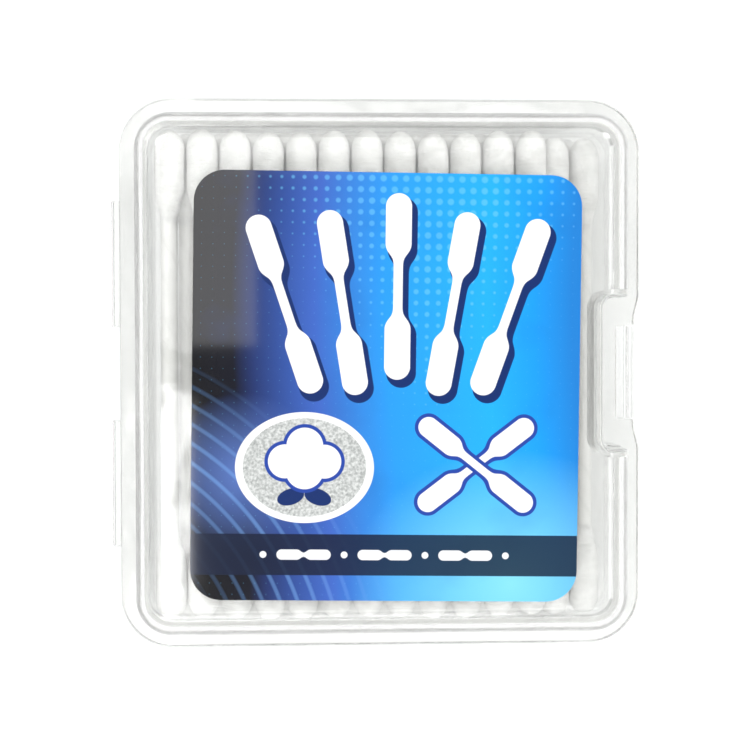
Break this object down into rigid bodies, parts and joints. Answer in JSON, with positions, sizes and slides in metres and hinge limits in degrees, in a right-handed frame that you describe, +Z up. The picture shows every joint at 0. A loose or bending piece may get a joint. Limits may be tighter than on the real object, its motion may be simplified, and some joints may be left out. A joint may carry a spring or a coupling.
{
  "type": "cotton swab box",
  "caption": "Clear plastic box with a hinged lid, full of cotton swabs with paper sticks in nested layers, with a sticker on the lid and a thumb notch at the latch.",
  "frame": {"origin": "centre of the base tray's underside, which the box lies on", "axes": "+Z up through the lid and its label, +X towards the thumb notch and latch, away from the hinge, +Y along the swabs to the label's top edge"},
  "size_m": [0.0805, 0.083, 0.0222],
  "materials": {
    "clear_plastic": "glossy clear polypropylene, slightly milky",
    "label_print": "glossy film over a dark blue print",
    "cotton": "white wound cotton on a white rolled paper stick"
  },
  "bodies": {
    "base": {"base_tray": "clear_plastic", "hinge_strap_upper": "clear_plastic", "hinge_strap_lower": "clear_plastic", "swab_01": "cotton", "swab_02": "cotton", "swab_03": "cotton", "swab_04": "cotton", "swab_05": "cotton", "swab_06": "cotton", "swab_07": "cotton", "swab_08": "cotton", "swab_09": "cotton", "swab_10": "cotton", "swab_11": "cotton", "swab_12": "cotton", "swab_13": "cotton", "swab_14": "cotton", "swab_15": "cotton", "swab_16": "cotton", "swab_17": "cotton", "swab_18": "cotton", "swab_19": "cotton", "swab_20": "cotton", "swab_21": "cotton", "swab_22": "cotton", "swab_23": "cotton", "swab_24": "cotton", "swab_25": "cotton", "swab_26": "cotton", "swab_27": "cotton", "swab_28": "cotton", "swab_29": "cotton", "swab_30": "cotton", "swab_31": "cotton", "swab_32": "cotton", "swab_33": "cotton", "swab_34": "cotton", "swab_35": "cotton", "swab_36": "cotton", "swab_37": "cotton", "swab_38": "cotton", "swab_39": "cotton", "swab_40": "cotton", "swab_41": "cotton", "swab_42": "cotton", "swab_43": "cotton", "swab_44": "cotton", "swab_45": "cotton", "swab_46": "cotton", "swab_47": "cotton", "swab_48": "cotton", "swab_49": "cotton", "swab_50": "cotton"},
    "lid": {"lid": "clear_plastic", "label": "label_print"}
  },
  "joints": [
    {"name": "lid_hinge", "type": "hinge", "parent": "base", "child": "lid", "pos_m": [-0.04101, 0, 0.013], "axis": [0, -1, 0], "range_deg": [0, 180], "deforming": ["hinge_strap_upper", "hinge_strap_lower"]}
  ]
}
